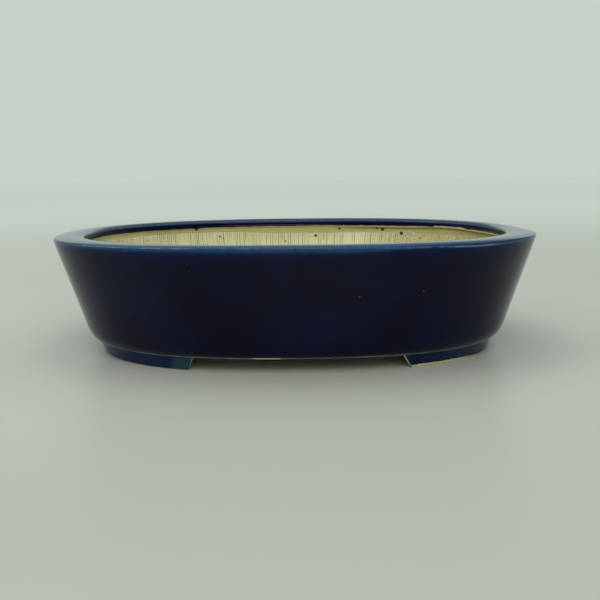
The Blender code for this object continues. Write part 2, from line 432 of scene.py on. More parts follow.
def mark_of(tree, name):
    return wire(tree, "ShaderNodeAttribute", attribute_name=name).outputs["Fac"]


def new_group(name, family, inputs, output, output_kind):
    """A node group. Each input is given with its kind of socket, or with its usual number instead.
    Returns the group with the sockets inside it."""
    group = bpy.data.node_groups.new(name, family + "NodeTree")
    for socket, given in inputs.items():
        number = {float: "Float", int: "Int"}.get(type(given))
        kind = "NodeSocket" + (number or given)
        made = group.interface.new_socket(name=socket, in_out="INPUT", socket_type=kind)
        if number:
            made.default_value = given
    group.interface.new_socket(name=output, in_out="OUTPUT", socket_type="NodeSocket" + output_kind)
    return group, group.nodes.new("NodeGroupInput").outputs, group.nodes.new("NodeGroupOutput").inputs


def make_speck_group():
    """Scattered round specks: their spacing, their size and the share of places that have one."""
    inputs = {"Vector": "Vector", "Per Metre": "Float", "Size": "Float", "Share": "Float"}
    group, given, result = new_group("scattered_specks", "Shader", inputs, "Mask", "Float")
    cells = wire(group, "ShaderNodeTexVoronoi", {"Vector": given["Vector"], "Scale": given["Per Metre"]})
    chance = wire(group, "ShaderNodeSeparateColor", {0: cells.outputs["Color"]}).outputs
    size = times(group, given["Size"], calc(group, "ADD", chance[1], 0.25))
    inside = ramp(group, cells.outputs["Distance"], size, times(group, size, 0.55))
    kept = calc(group, "LESS_THAN", chance[0], given["Share"])
    group.links.new(times(group, inside, kept), result["Mask"])
    return group


def make_uneven_group():
    """The height of a hand-worked surface: broad swells with finer ones on them."""
    inputs = {"Vector": "Vector", "Broad": "Float", "Fine": "Float", "Fine Share": "Float"}
    group, given, result = new_group("hand_worked_surface", "Shader", inputs, "Height", "Float")
    broad = cloud(group, given["Vector"], given["Broad"], 2.0, 0.4)
    fine = cloud(group, given["Vector"], given["Fine"], 4.0, 0.6)
    share = wire(group, "ShaderNodeMix", {0: given["Fine Share"], 2: broad, 3: fine}, data_type="FLOAT")
    group.links.new(share.outputs[0], result["Height"])
    return group


def make_ragged_group():
    """A mask whose border is made uneven: how coarse and how strong the unevenness is."""
    inputs = {"Vector": "Vector", "Mask": "Float", "Per Metre": "Float", "Strength": "Float"}
    group, given, result = new_group("ragged_border", "Shader", inputs, "Mask", "Float")
    noise = cloud(group, given["Vector"], given["Per Metre"], 4.0, 0.6)
    shift = times(group, calc(group, "SUBTRACT", noise, 0.5), given["Strength"])
    middle = times(group, given["Mask"], calc(group, "SUBTRACT", 1.0, given["Mask"]))
    moved = calc(group, "ADD", given["Mask"], times(group, shift, times(group, middle, 4.0)))
    group.links.new(wire(group, "ShaderNodeClamp", {0: moved}).outputs[0], result["Mask"])
    return group


SPECKS = make_speck_group()
UNEVEN = make_uneven_group()
RAGGED = make_ragged_group()


def grouped(tree, group, *values):
    """The output of a group, with its inputs in their order."""
    return wire(tree, "ShaderNodeGroup", dict(enumerate(values)), node_tree=group).outputs[0]


def ragged(tree, place, mark, per_metre, strength):
    """A mark kept on the mesh, with an uneven border."""
    return grouped(tree, RAGGED, place, mark_of(tree, mark), per_metre, strength)


def start_material(name):
    material = bpy.data.materials.new(name)
    material.use_nodes = True
    tree = material.node_tree
    place = wire(tree, "ShaderNodeTexCoord").outputs["Object"]
    return material, tree, tree.nodes["Principled BSDF"], place


def finish_surface(tree, shader, colour, rough, relief, distance, strength):
    bump = wire(tree, "ShaderNodeBump", {"Height": relief, "Distance": distance, "Strength": strength})
    for name, socket in (("Base Color", colour), ("Roughness", rough), ("Normal", bump.outputs[0])):
        tree.links.new(socket, shader.inputs[name])


# ---- materials

DEEP_GLAZE = (0.0006, 0.0007, 0.0105, 1.0)
POOLED_GLAZE = (0.0005, 0.0008, 0.0140, 1.0)
COBALT = (0.0016, 0.0062, 0.0420, 1.0)
THICK_COBALT = (0.0060, 0.0200, 0.0700, 1.0)
THIN_COBALT = (0.010, 0.045, 0.112, 1.0)
STEEL_BLUE = (0.100, 0.165, 0.260, 1.0)
# Pale grey of the painted highlight along the ledge
LEDGE_HIGHLIGHT = (0.125, 0.147, 0.180, 1.0)
TEAL = (0.016, 0.044, 0.066, 1.0)
BARE_EDGE = (0.42, 0.44, 0.30, 1.0)
GLAZE_IOR = 1.45
GLAZE_SPECULAR = 0.15

CLAY_PALE = (0.600, 0.595, 0.400, 1.0)
CLAY_WARM = (0.540, 0.515, 0.305, 1.0)
CLAY_CREAM = (0.640, 0.630, 0.460, 1.0)
# Brown of the clay's specks, also used for painted shade under the lip's edge and in the comb grooves
BROWN_SPECK_AND_SHADE = (0.200, 0.140, 0.045, 1.0)
# Ochre of fuming beside the glaze, also used as painted shade under the pot and on the feet
OCHRE_FUME_AND_SHADE = (0.330, 0.290, 0.105, 1.0)
FUMED_DARK = (0.16, 0.16, 0.10, 1.0)
CLAY_SPECULAR = 0.35

IRON = (0.004, 0.004, 0.006, 1.0)
IRON_BROWN = (0.020, 0.014, 0.010, 1.0)


def make_glaze():
    """Glossy cobalt glaze: almost black where it is thick, blue where it has run thin and pale on
    the sharp edges, as thin glaze with a painted highlight. The ledge's line is a painted highlight."""
    material, tree, shader, place = start_material("cobalt_glaze_fired")
    height = wire(tree, "ShaderNodeSeparateXYZ", {0: place}).outputs["Z"]
    clouds = cloud(tree, place, 38.0, 3.0, 0.5)
    thin = ragged(tree, place, "thin", 260.0, 0.35)
    broken = ragged(tree, place, "break_and_highlight", 420.0, 0.9)
    bare = ragged(tree, place, "bare", 600.0, 0.8)
    pinholes = grouped(tree, SPECKS, place, 160.0, 0.085, 0.10)
    colour = layered(
        tree, DEEP_GLAZE,
        (ramp(tree, clouds, 0.35, 0.75, 0.0, 0.30), COBALT),
        (ramp(tree, height, TOP - 9.0 * MM, TOP - 2.0 * MM, 0.0, 0.8), COBALT),
        # thin glaze and the pale break line, with a painted highlight on the rim's edges
        (ramp(tree, thin, 0.05, 0.55), THIN_COBALT),
        (ramp(tree, broken, 0.15, 1.0), STEEL_BLUE),
        (mark_of(tree, "thick"), THICK_COBALT),
        (mark_of(tree, "pooled"), POOLED_GLAZE),
        # painted highlight along the ledge's bevel
        (ragged(tree, place, "ledge", 150.0, 0.5), LEDGE_HIGHLIGHT),
        (ragged(tree, place, "teal", 120.0, 0.6), TEAL),
        (ramp(tree, bare, 0.25, 0.8), BARE_EDGE),
        (times(tree, pinholes, 0.35), STEEL_BLUE),
    )
    gloss = ramp(tree, cloud(tree, place, 60.0), 0.3, 0.7, 0.05, 0.11)
    gloss = calc(tree, "ADD", gloss, times(tree, bare, 0.35))
    swell = grouped(tree, UNEVEN, place, 35.0, 260.0, 0.12)
    relief = calc(tree, "SUBTRACT", swell, times(tree, pinholes, 0.3))
    finish_surface(tree, shader, colour, gloss, relief, 0.25 * MM, 0.6)
    shader.inputs["IOR"].default_value = GLAZE_IOR
    shader.inputs["Specular IOR Level"].default_value = GLAZE_SPECULAR
    return material


def make_clay():
    """Bare fired clay: cream, mottled, gritty, fumed ochre beside the glaze and darker in the combing.
    The darkness in the combing is painted shade, as is the darker clay under the lip's lower edge,
    under the pot and on the feet. The lip's lower edge has a painted highlight.
    """
    material, tree, shader, place = start_material("fired_clay_bare")
    mottle = cloud(tree, place, 55.0, 5.0, 0.65)
    speckled = mark_of(tree, "speckled")
    blots = grouped(tree, SPECKS, place, 520.0, 0.45, 0.50)
    dots = grouped(tree, SPECKS, place, 760.0, 0.42, 0.45)
    fine = grouped(tree, SPECKS, place, 900.0, 0.30, 0.22)
    iron_dots = grouped(tree, SPECKS, place, 210.0, 0.11, 0.10)
    colour = layered(
        tree, CLAY_PALE,
        (ramp(tree, mottle, 0.38, 0.72), CLAY_WARM),
        # fuming beside the glaze, and painted shade on the underside and the feet
        (times(tree, ragged(tree, place, "fume_and_shade", 90.0, 0.35), 0.85), OCHRE_FUME_AND_SHADE),
        (times(tree, ragged(tree, place, "edge", 300.0, 0.6), 0.75), FUMED_DARK),
        # painted shade under the lip's lower edge and in the comb grooves
        (mark_of(tree, "painted_shade"), BROWN_SPECK_AND_SHADE),
        (times(tree, blots, speckled, 0.6), CLAY_CREAM),
        (times(tree, dots, speckled, 0.8), BROWN_SPECK_AND_SHADE),
        (times(tree, fine, 0.35), BROWN_SPECK_AND_SHADE),
        (times(tree, iron_dots, 0.8), BROWN_SPECK_AND_SHADE),
    )
    rough = ramp(tree, mottle, 0.3, 0.7, 0.72, 0.88)
    grain = grouped(tree, UNEVEN, place, 140.0, 1500.0, 0.55)
    relief = calc(tree, "SUBTRACT", grain, times(tree, fine, 0.2))
    finish_surface(tree, shader, colour, rough, relief, 0.22 * MM, 0.7)
    shader.inputs["Specular IOR Level"].default_value = CLAY_SPECULAR
    return material


def make_iron():
    """Iron spots that melted out of the clay: black, mottled with brown."""
    material, tree, shader, place = start_material("iron_spot")
    mottle = cloud(tree, place, 2500.0)
    tree.links.new(layered(tree, IRON, (mottle, IRON_BROWN)), shader.inputs["Base Color"])
    rough = ramp(tree, mottle, 0.3, 0.7, 0.30, 0.55)
    tree.links.new(rough, shader.inputs["Roughness"])
    return material


glaze = make_glaze()
clay = make_clay()
iron = make_iron()

# ---- glaze coat

# Where the glaze breaks to a pale line at the rim's outer edge, thin glaze with a painted highlight:
# (degrees, height in mm)
BREAK_HEIGHTS = (
    (-180, 64.3), (-152, 64.0), (-140, 64.3), (-100, 64.3), (-80, 64.1), (-66, 63.9), (-56, 63.8),
    (-46, 63.2), (-36, 63.4), (-20, 63.9), (0, 64.3), (90, 64.6), (180, 64.2),
)
# How strong that line is: (degrees, strength)
BREAK_STRENGTHS = (
    (-180, 0.45), (-165, 0.55), (-150, 0.95), (-118, 1.0), (-111, 0.50), (-82, 0.40), (-74, 0.85),
    (-60, 1.0), (-42, 1.0), (-34, 0.6), (-20, 0.35), (0, 0.4), (40, 0.8), (90, 0.5), (140, 0.8),
    (180, 0.45),
)
# How far the glaze below that line is thin: (degrees, mm)
THIN_REACHES = (
    (-180, 1.0), (-140, 1.3), (-110, 2.0), (-75, 2.0), (-60, 0.7), (-20, 0.6), (0, 0.8), (90, 1.2),
    (180, 0.9),
)
BREAK_INSET = 0.3 * MM
# A gap in the line, a dark dot below it where a degree is this long, a drip on the lip, a place where
# the lip's glaze drew back, and bare clay on the ledge
GAP_PLACE, GAP_WIDTH = -56.2, 0.6
DOT_PLACE, DOT_DROP, DOT_SIZE = -89.6, 0.3 * MM, 0.8 * MM
DEGREE_LENGTH = 1.9 * MM
DRIP_PLACE, DRIP_WIDTH, DRIP_LENGTH = 129.5, 0.45, 1.5 * MM
DRAWN_BACK, DRAWN_BACK_BY = (22.0, 25.5, 36.2, 37.2), 1.0 * MM
BARE_PATCH = (-105.5, -102.0, -95.5, -93.5)


def lip_glaze_end(angle):
    """How far down the lip's face the glaze runs, with one drip and one place where it drew back."""
    where = degrees_round(angle)
    end = LIP_GLAZE_END + 0.13 * MM * wave(angle, (9, 17, 31, 58, 97), 3)
    end = end - 0.35 * MM * smooth(where, 60.0, 150.0) - 0.1 * MM
    end = end - DRIP_LENGTH * near(where, DRIP_PLACE, DRIP_WIDTH)
    return end + DRAWN_BACK_BY * between(where, *DRAWN_BACK)


def coat_marks(line, angle):
    """Where the glaze is thin, breaks to a pale line, lies thick or pooled, and where clay shows.
    The pale lines on the rim's edges are thin glaze with a painted highlight. The ledge's line is a
    painted highlight.
    """
    inset, height = line_rows(line, angle)
    where = degrees_round(angle)
    breaks = along_round(angle, BREAK_HEIGHTS) * MM
    away = np.hypot(inset - BREAK_INSET, height - breaks)
    lip_inset = RIM_WIDTH_SIDES - 0.3 * LIP_EDGE_RADIUS
    lip_away = np.hypot(inset - lip_inset, height - (LIP_TOP - 0.3 * LIP_EDGE_RADIUS))
    below_edge = np.clip((breaks - height) / (along_round(angle, THIN_REACHES) * MM), 0.0, None)
    off_lip = inset < RIM_WIDTH_SIDES - 2.5 * MM
    # thin glaze below the rim's outer edge and at the lip's arris, where it also carries a painted highlight
    thin = 0.60 * np.exp(-(below_edge**2)) * off_lip + 0.30 * near(lip_away, 0.0, 1.2 * MM)
    dot = np.hypot(DEGREE_LENGTH * (where - DOT_PLACE), height - breaks + DOT_DROP)
    thin = thin * (1.0 - 0.8 * near(dot, 0.0, DOT_SIZE))
    strength = along_round(angle, BREAK_STRENGTHS) * (0.84 + 0.22 * wave(angle, (7, 19, 43, 90), 21))
    strength = strength * (1.0 - 0.9 * near(where, GAP_PLACE, GAP_WIDTH))
    # the pale line at the rim's outer edge and at the lip's arris: thin glaze with a painted highlight
    break_and_highlight = near(away, 0.0, 0.42 * MM) * strength + 0.40 * near(lip_away, 0.0, 0.6 * MM)
    ends = between(where, -66.0, -55.0, -25.0, -8.0) + between(where, -174.0, -166.0, -146.0, -136.0)
    above = np.hypot(inset - BREAK_INSET, height - breaks - 1.0 * MM)
    on_face = (inset > RIM_WIDTH_SIDES - 1.5 * MM) * (inset < RIM_WIDTH_SIDES + 1.0 * MM)
    pooled = on_face * smooth(LIP_TOP - 0.9 * MM - height, 0.0, 0.8 * MM) * (height > TOP - 8.0 * MM)
    on_ledge = near(np.maximum(height - LEDGE - LEDGE_BEVEL, 0.0), 0.0, 0.25 * MM)
    on_ledge = on_ledge * (inset > LEDGE_INSET - 1.5 * MM)
    patch = between(where, *BARE_PATCH) + 0.25 * smooth(wave(angle, (6, 14, 23, 47), 8), 0.7, 1.4)
    marks = {
        "thin": thin,
        "break_and_highlight": break_and_highlight,
        "thick": near(above, 0.0, 0.5 * MM) * ends,
        "pooled": pooled,
        # painted highlight along the ledge's small bevel
        "ledge": on_ledge * (0.80 + 0.25 * wave(angle, (5, 11, 26, 60), 77)),
        "bare": on_ledge * patch,
    }
    return {name: np.clip(values, 0.0, 1.0) for name, values in marks.items()}


def make_coat():
    """The coat's glazed face, and its hidden face in half as many rows."""
    angle = around(COAT_STEPS)
    glazed = [coat_line(width, 2) for width in (RIM_WIDTH_ENDS, RIM_WIDTH_SIDES)]
    ends, sides = [face + sunk(face, GLAZE)[::-2] for face in glazed]
    front = np.arange(len(ends))[:, None] < len(glazed[0])
    end_inset, height = line_rows(ends, angle)
    side_inset, _ = line_rows(sides, angle)
    beside_lip = side_inset > RIM_WIDTH_SIDES - 0.6 * MM
    on_face = beside_lip & (height < LIP_FACE_TOP) & (height > LIP_FACE_TOP - 5.0 * MM)
    share = (LIP_FACE_TOP - height) / (LIP_FACE_TOP - LIP_GLAZE_END)
    height = np.where(on_face, LIP_FACE_TOP + (lip_glaze_end(angle) - LIP_FACE_TOP) * share, height)
    bead = LIP_BEAD * near(share, LIP_BEAD_PLACE, LIP_BEAD_WIDTH) - LIP_TAPER * (share > 0.99)
    bead = np.where(on_face & front, bead, 0.0)
    points = lay_round(end_inset + bead, side_inset + bead, height, angle)
    mesh = hoop_mesh("coat", points, coat_marks(sides, angle))
    hand_over(make_piece("coat_glaze", mesh, glaze, 60.0), "cobalt_glaze", "glaze_coat")


# ---- clay rim

# The height in mm where the comb marks begin and the smoothed clay under the lip ends, by degrees
COMB_TOPS = (
    (-180, 57.5), (-90, 57.0), (0, 56.6), (60, 56.2), (97, 55.8), (104, 56.3), (115, 57.6), (150, 57.9),
    (180, 57.5),
)
SMOOTHED_CLAY = 1.9 * MM
LIP_LIFT = 1.1 * MM
LIP_LIFT_PLACE = 33.0
COVE_LOW = SEAM + 1.1 * MM


def build_up(angle):
    """How far the potter smoothed clay under the lip: fully at the back and left, little elsewhere."""
    back = between(degrees_round(angle), 62.0, 80.0, 165.0, 179.0)
    return np.clip(0.10 + 0.90 * back + 0.05 * wave(angle, (4, 9, 15), 6), 0.0, 1.0)


def inner_inset(top_inset, height, angle):
    """The wall's inner face: it leans in downwards, and the built-up clay stands out near the lip."""
    swell = build_up(angle) * smooth(height, SEAM - 9.0 * MM, SEAM + 2.5 * MM)
    return top_inset + INNER_LEAN * (SEAM - height) + SMOOTHED_CLAY * swell


def comb_top(angle):
    return along_round(angle, COMB_TOPS) * MM + 0.08 * MM * wave(angle, (11, 24, 51), 14)


def lip_lift(angle):
    """How much higher than elsewhere the lip's lower edge is."""
    return LIP_LIFT * near(degrees_round(angle), LIP_LIFT_PLACE, 9.0)


def speckled_patch(angle):
    return between(degrees_round(angle), 8.0, 24.0, 44.0, 58.0)


def unfumed_end(angle):
    """The left end, where the flame left less of its colour."""
    return smooth(degrees_round(angle), 142.0, 160.0)


def rim_rows(rim_width, inner_top, angle):
    """The strip's insets and heights, row by row, and how many of the rows the glaze hides."""
    outer = [p for p in clay_line(rim_width) if p[1] > SEAM + 0.5 * MM]
    outer = [(CLAY_DEPTH + WALL_LEAN * (WALL_TOP - SEAM), SEAM)] + outer
    corner_inset = outer[-1][0] - LIP_FOOT_RADIUS
    corner = arc((corner_inset, LIP_FOOT + LIP_FOOT_RADIUS), LIP_FOOT_RADIUS, 0.0, -90.0, 6)
    line = outer + straight(outer[-1], corner[0], 5)[1:] + corner
    inset, height = [list(values) for values in zip(*line)]
    cove_end = inner_inset(inner_top, COVE_LOW, angle)
    pull = np.minimum(inner_inset(inner_top, LIP_FOOT, angle), corner_inset)
    for t in np.linspace(0.0, 1.0, 8)[1:]:
        inset.append((1.0 - t) ** 2 * corner_inset + 2.0 * t * (1.0 - t) * pull + t**2 * cove_end)
        height.append((1.0 - t**2) * LIP_FOOT + t**2 * COVE_LOW)
    shown = smooth(comb_top(angle), 56.5 * MM, 57.5 * MM)
    for step in (0.7 * MM, 0.35 * MM, 0.12 * MM, 0.0):
        groove = 0.12 * MM * near(step, 0.0, 0.18 * MM) * shown
        inset.append(inner_inset(inner_top, SEAM + step, angle) - groove)
        height.append(SEAM + step)
    return as_rows(inset, angle), as_rows(height, angle), len(outer)


def make_rim():
    angle = around(RIM_STEPS)
    where = degrees_round(angle)
    ends, height, hidden = rim_rows(RIM_WIDTH_ENDS, INNER_TOP_ENDS, angle)
    sides, _, _ = rim_rows(RIM_WIDTH_SIDES, INNER_TOP_SIDES, angle)
    inside = (sides > RIM_WIDTH_SIDES - 3.0 * MM) & (height < LIP_FACE_TOP)
    down = (LIP_FACE_TOP - height) / (LIP_FACE_TOP - LIP_FOOT - LIP_FOOT_RADIUS)
    share = np.clip(np.minimum(down, (height - SEAM) / (LIP_FOOT - SEAM)), 0.0, 1.0)
    height = height + lip_lift(angle) * share * inside
    foot = LIP_FOOT + lip_lift(angle)
    # painted highlight: the clay along the lip's lower edge is left paler, with less ochre, except along the
    # back
    pale = near(height, foot + 0.5 * MM, 0.9 * MM) * (1.0 - smooth(where, 38.0, 62.0))
    # painted shadow: a dark brown line just under the lip's lower edge, where the cove is left open and
    # beside the lifted lip
    shade = between(height, foot - 2.0 * MM, foot - 0.9 * MM, foot - 0.7 * MM, foot)
    shade = shade * (0.65 * (1.0 - build_up(angle)) + 0.35 * near(where, LIP_LIFT_PLACE, 12.0))
    marks = {
        "fume_and_shade": (1.0 - 0.85 * np.clip(pale, 0.0, 1.0)) * (1.0 - 0.6 * unfumed_end(angle)),
        "edge": near(height, lip_glaze_end(angle), 0.35 * MM) * 0.9,
        "painted_shade": np.clip(shade, 0.0, 1.0),
        "speckled": 0.5 * speckled_patch(angle),
    }
    bare = (np.arange(len(height)) >= hidden)[:, None]
    marks = {name: values * bare for name, values in marks.items()}
    mesh = hoop_mesh("rim", lay_round(ends, sides, height, angle), marks)
    hand_over(make_piece("rim_clay", mesh, clay, 50.0), "fired_clay", "rim_lip")


# ---- clay wall

COMB_SEED = 7
COMB_PITCH = 1.45 * MM
COMB_DEPTH = 0.40 * MM
COMB_LONGEST = 40.0 * MM
# How dark the painted shade in the comb grooves is
COMB_SHADE = 1.15
COMB_DRIFT = 1.2 * MM


def wall_rows(rim_width, inner_top, angle):
    """The wall's insets and heights, row by row, and how many of the rows the glaze hides."""
    clay_face = clay_line(rim_width)
    outer = [p for p in clay_face if FLOOR_TOP + 0.3 * MM < p[1] < SEAM - 0.5 * MM and p[0] > 0.5 * MM]
    outer = [(foot_inset(clay_face, WALL_LOW), WALL_LOW)] + outer
    outer.append((CLAY_DEPTH + WALL_LEAN * (WALL_TOP - SEAM), SEAM - 0.02 * MM))
    inset, height = [list(values) for values in zip(*outer)]
    combed = SEAM - np.array([0.02, 0.3, 0.7, 1.1, 1.5, 1.9, 2.3, 2.8, 4.0, 6.0, 8.5, 11.5, 14.5]) * MM
    lower = np.linspace(SEAM - 18.0 * MM, WALL_LOW + INNER_CORNER_RADIUS + 1.0 * MM, 5)
    for level in np.concatenate([combed, lower]):
        inset.append(inner_inset(inner_top, level, angle))
        height.append(level)
    turn = inner_inset(inner_top, WALL_LOW + INNER_CORNER_RADIUS, angle)
    for right, up in arc((INNER_CORNER_RADIUS, INNER_CORNER_RADIUS), INNER_CORNER_RADIUS, 180.0, 262.0, 7):
        inset.append(turn + right)
        height.append(WALL_LOW + up)
    inset.append(inset[-1] + 0.4 * MM)
    height.append(WALL_LOW)
    return as_rows(inset, angle), as_rows(height, angle), len(outer)


def make_wall_body():
    """The wall before it is combed, with the distance round the pot kept on its points."""
    angle = around(WALL_STEPS)
    where = degrees_round(angle)
    ends, _, _ = wall_rows(RIM_WIDTH_ENDS, INNER_TOP_ENDS, angle)
    sides, height, hidden = wall_rows(RIM_WIDTH_SIDES, INNER_TOP_SIDES, angle)
    points = lay_round(ends, sides, height, angle)
    ring = points[hidden]
    steps = np.linalg.norm(np.roll(ring, -1, axis=0) - ring, axis=1)
    walked = np.concatenate([[0.0], np.cumsum(steps)[:-1]])
    top = comb_top(angle)
    right = between(where, 4.0, 16.0, 48.0, 66.0)
    fume_and_shade = smooth(height, top - 0.15 * MM, top + 0.15 * MM)
    fume_and_shade = fume_and_shade + 0.15 * smooth(height, top - 6.0 * MM, top)
    fume_and_shade = fume_and_shade * (1.0 - 0.75 * unfumed_end(angle))
    fume_and_shade = np.maximum(fume_and_shade, 0.70 * right * smooth(height, SEAM - 16.0 * MM, SEAM - 5.0 * MM))
    inner = np.arange(len(height))[:, None] >= hidden
    marks = {
        "walked": walked,
        "comb_top": top,
        "inner_face": inner * (height > WALL_LOW + INNER_CORNER_RADIUS),
        "fume_and_shade": np.clip(fume_and_shade, 0.0, 1.0) * inner,
        "speckled": speckled_patch(angle) * inner,
    }
    return hoop_mesh("wall_body", points, marks)


def new_shaping(name, numbers, seed):
    """A geometry node group that takes a mesh, some numbers, a seed and a material."""
    inputs = {"Geometry": "Geometry", **numbers, "Seed": seed, "Material": "Material"}
    return new_group(name, "Geometry", inputs, "Geometry", "Geometry")


def end_shaping(tree, geometry, given, result):
    """Makes everything plain mesh and gives it its material."""
    real = wire(tree, "GeometryNodeRealizeInstances", {0: geometry})
    inputs = {"Geometry": real.outputs[0], "Material": given["Material"]}
    tree.links.new(wire(tree, "GeometryNodeSetMaterial", inputs).outputs[0], result[0])


def make_comb_tree():
    """Geometry nodes that press comb marks into the wall: each tooth has its own depth and length,
    and painted shade darkens each groove more the deeper it is pressed.
    """
    numbers = {"Pitch": COMB_PITCH, "Depth": COMB_DEPTH, "Longest": COMB_LONGEST, "Groove Shade": COMB_SHADE}
    tree, given, result = new_shaping("comb_marks", numbers, COMB_SEED)

    def mark(name):
        return wire(tree, "GeometryNodeInputNamedAttribute", {"Name": name}, data_type="FLOAT").outputs[0]

    def chance(low, high, offset):
        seed = calc(tree, "ADD", given["Seed"], offset)
        inputs = {2: low, 3: high, "ID": tooth, "Seed": seed}
        return wire(tree, "FunctionNodeRandomValue", inputs, data_type="FLOAT").outputs[1]

    place = wire(tree, "GeometryNodeInputPosition").outputs[0]
    height = wire(tree, "ShaderNodeSeparateXYZ", {0: place}).outputs[2]
    below = calc(tree, "SUBTRACT", mark("comb_top"), height)
    drift = calc(tree, "SUBTRACT", cloud(tree, place, 55.0, 1.0, 0.5), 0.5)
    walked = calc(tree, "ADD", mark("walked"), times(tree, drift, COMB_DRIFT))
    teeth = calc(tree, "DIVIDE", walked, given["Pitch"])
    tooth = calc(tree, "FLOOR", teeth)
    off = calc(tree, "SUBTRACT", calc(tree, "FRACT", teeth), chance(0.35, 0.65, 1))
    groove = ramp(tree, calc(tree, "ABSOLUTE", off), chance(0.16, 0.30, 2), 0.02)
    depth = chance(0.05, 1.0, 3)
    length = times(tree, given["Longest"], chance(0.15, 1.0, 4))
    begins = ramp(tree, below, 0.0, 0.8 * MM)
    ends = ramp(tree, below, length, times(tree, length, 0.7))
    pressed = times(tree, times(tree, groove, depth), times(tree, begins, ends), mark("inner_face"))
    normal = wire(tree, "GeometryNodeInputNormal").outputs[0]
    inwards = {0: normal, "Scale": times(tree, pressed, given["Depth"], -1.0)}
    push = wire(tree, "ShaderNodeVectorMath", inwards, operation="SCALE")
    # painted shade in each groove, darker the deeper it is pressed
    groove_shade = {"Geometry": given["Geometry"], "Name": "painted_shade", "Value": times(tree, pressed, given["Groove Shade"])}
    keep = wire(tree, "GeometryNodeStoreNamedAttribute", groove_shade, data_type="FLOAT", domain="POINT")
    moved = wire(tree, "GeometryNodeSetPosition", {"Geometry": keep.outputs[0], "Offset": push.outputs[0]})
    end_shaping(tree, moved.outputs[0], given, result)
    return tree


def run_tree(tree, mesh, material):
    """The plain mesh that geometry nodes make from another."""
    holder = put_down("holder", mesh)
    modifier = holder.modifiers.new("nodes", "NODES")
    modifier.node_group = tree
    for item in tree.interface.items_tree:
        if item.name == "Material":
            modifier[item.identifier] = material
    return take_mesh(holder)


def make_wall():
    combed = run_tree(make_comb_tree(), make_wall_body(), clay)
    hand_over(make_piece("wall_clay", combed, clay, 50.0), "fired_clay", "wall")


# ---- clay floor

FLOOR_EDGE_RADIUS = 0.5 * MM
# Below this height the floor's underside gets painted shade: darker ochre, as under the pot
UNDERSIDE_SHADE_TOP = LEDGE + 2.0 * MM


def cut_hole(piece, x, y, radius, sides):
    size = {"vertices": sides, "radius": radius, "depth": 4.0 * FLOOR_TOP}
    bpy.ops.mesh.primitive_cylinder_add(location=(x, y, FLOOR_TOP), **size)
    cutter = bpy.context.object
    cut = piece.modifiers.new("hole", "BOOLEAN")
    cut.operation = "DIFFERENCE"
    cut.object = cutter
    return cutter


def make_slab():
    """The floor before its holes are cut."""
    angle = around(FLOOR_STEPS)
    clay_face = clay_line(RIM_WIDTH_SIDES)
    edge = [p for p in clay_face[:8] if p[1] < FLOOR_TOP - 0.2 * MM]
    edge.append((foot_inset(clay_face, FLOOR_TOP), FLOOR_TOP))
    inset, height = line_rows(edge, angle)
    points = lay_round(inset, inset, height, angle)
    index, quads = grid_of(points)
    return capped_mesh("slab", points, quads[:-1], (index[0], index[-1]), {})


def make_floor():
    holder = put_down("slab", make_slab())
    cutters = []
    for side in (-1, 1):
        cutters.append(cut_hole(holder, side * DRAIN_HOLE_X, 0.0, DRAIN_HOLE_RADIUS, 96))
        for across in (-1, 1):
            cutters.append(cut_hole(holder, side * WIRE_HOLE_X, across * WIRE_HOLE_Y, WIRE_HOLE_RADIUS, 40))
    soften(holder, FLOOR_EDGE_RADIUS, 60.0)
    mesh = take_mesh(holder)
    for cutter in cutters:
        bpy.data.objects.remove(cutter)
    places = np.zeros(3 * len(mesh.vertices))
    mesh.vertices.foreach_get("co", places)
    # painted shade: the underside, under the pot, is made darker ochre
    keep_mark(mesh, "fume_and_shade", places[2::3] < UNDERSIDE_SHADE_TOP)
    hand_over(make_piece("floor_clay", mesh, clay, 40.0), "fired_clay", "floor_slab")


# ---- feet

def end_angle(x, half_length, half_width):
    """The angle at which an oval passes this distance along the pot."""
    across = half_width * (1.0 - (abs(x) / half_length) ** OVAL_POWER) ** (1.0 / OVAL_POWER)
    return math.atan2(across, x)


def foot_end_x(side, height, margin):
    """Where the foot ends along the pot: slanted, with its lower corner rounded off."""
    top = LEFT_FOOT_END if side < 0 else RIGHT_FOOT_END
    slant = FOOT_SLANTS[side] * (FOOT_TOP - height) / FOOT_TOP
    rounding = FOOT_CORNER_DEPTH * max(0.0, 1.0 - height / FOOT_CORNER_HEIGHT) ** 2
    return top + side * (slant + rounding + margin)


def foot_points(side, line, margins, steps):
    """Rows along a C-shaped foot from one end to the other, from points (depth in its face, height)."""
    share = np.linspace(0.0, 1.0, steps)
    share = share - 0.6 * np.sin(TURN * share) / TURN
    rows = []
    for (depth, height), margin in zip(line, margins):
        lean = 1.0 - height / FOOT_TOP
        insets = [depth + top + lean * (low - top) for low, top in zip(FOOT_BOTTOM_INSETS, FOOT_TOP_INSETS)]
        half_length, half_width = HALF_LENGTH - insets[0], HALF_WIDTH - insets[1]
        start = end_angle(foot_end_x(side, height, margin), half_length, half_width)
        if side < 0:
            angle = start + (TURN - 2.0 * start) * share
        else:
            angle = -start + 2.0 * start * share
        reach = oval_reach(half_length, half_width, angle)
        x, y = reach * np.cos(angle), reach * np.sin(angle)
        rows.append(np.stack([x, y, np.full_like(angle, height)], axis=-1))
    return np.array(rows)


